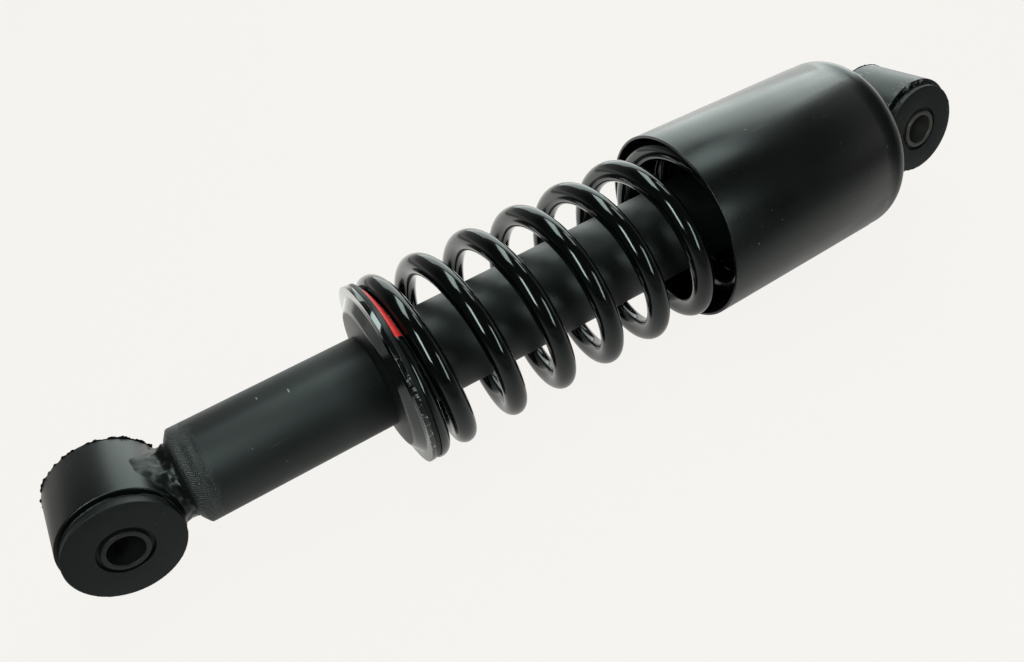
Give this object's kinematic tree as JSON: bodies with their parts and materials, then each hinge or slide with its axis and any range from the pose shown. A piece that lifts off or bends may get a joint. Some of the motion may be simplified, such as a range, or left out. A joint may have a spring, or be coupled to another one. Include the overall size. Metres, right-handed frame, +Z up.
{
  "type": "cab shock absorber",
  "caption": "Cab shock absorber: twin-tube damper inside a coil spring, with a tapered shroud and a rubber-bushed bolt eye at each end.",
  "frame": {"origin": "middle of the lower eye's bolt hole, on the damper's axis", "axes": "+X along the damper from the lower eye to the upper eye, Y along the lower eye's bolt hole, +Z up as it lies on its side"},
  "size_m": [0.5275, 0.1064, 0.1064],
  "materials": {
    "body_paint": "satin black paint",
    "seat_paint": "gloss black paint",
    "spring_coat": "gloss black powder coat with a red paint mark on the first coil",
    "rubber": "moulded black rubber",
    "foam": "microcellular polyurethane",
    "plated_steel": "phosphated steel",
    "chrome": "hard chrome, ground",
    "sintered_iron": "sintered, machined faces",
    "drawn_steel": "drawn, oiled",
    "ptfe": "bronze-filled slide material"
  },
  "bodies": {
    "damper_body": {"lower_eye_ring": "body_paint", "lower_bush_rubber": "rubber", "lower_eye_weld": "body_paint", "base_cap": "body_paint", "reservoir_tube": "body_paint", "lower_spring_seat": "seat_paint", "lower_seat_weld": "body_paint", "lower_isolator": "rubber", "coil_spring": "spring_coat", "seal_retainer": "plated_steel", "rod_seal": "rubber", "rod_guide": "sintered_iron", "rod_guide_bush": "ptfe", "pressure_tube": "drawn_steel", "foot_valve_body": "sintered_iron", "foot_valve_discs": "drawn_steel", "foot_valve_rivet": "plated_steel"},
    "spring_cap": {"upper_isolator": "rubber"},
    "upper_mount": {"upper_spring_seat": "body_paint", "upper_seat_weld": "body_paint", "shroud": "body_paint", "bump_stop_cup": "body_paint", "bump_stop": "foam", "upper_eye_boss": "body_paint", "upper_eye_weld": "body_paint", "upper_eye_ring": "body_paint", "upper_bush_rubber": "rubber", "piston_rod": "chrome", "rebound_stop": "rubber", "rebound_collar": "plated_steel", "rebound_valve_discs": "drawn_steel", "piston": "sintered_iron", "piston_band": "ptfe", "compression_valve_discs": "drawn_steel", "piston_nut": "plated_steel"},
    "lower_sleeve": {"lower_bush_sleeve": "plated_steel"},
    "upper_sleeve": {"upper_bush_sleeve": "plated_steel"}
  },
  "joints": [
    {"name": "compression", "type": "slide", "parent": "damper_body", "child": "spring_cap", "axis": [-1, 0, 0], "range_m": [0, 0.065], "stiffness_N_per_m": 42000, "springref_m": -0.03, "deforming": ["coil_spring"]},
    {"name": "swivel", "type": "hinge", "parent": "spring_cap", "child": "upper_mount", "pos_m": [0.4725, 0, 0], "axis": [1, 0, 0], "continuous": true},
    {"name": "lower_bush_twist", "type": "hinge", "parent": "damper_body", "child": "lower_sleeve", "pos_m": [0, 0, 0], "axis": [0, 1, 0], "range_deg": [-15, 15], "stiffness_Nm_per_rad": 40},
    {"name": "upper_bush_twist", "type": "hinge", "parent": "upper_mount", "child": "upper_sleeve", "pos_m": [0.4725, 0, 0], "axis": [0, 0.9954, -0.0958], "range_deg": [-15, 15], "stiffness_Nm_per_rad": 40}
  ]
}
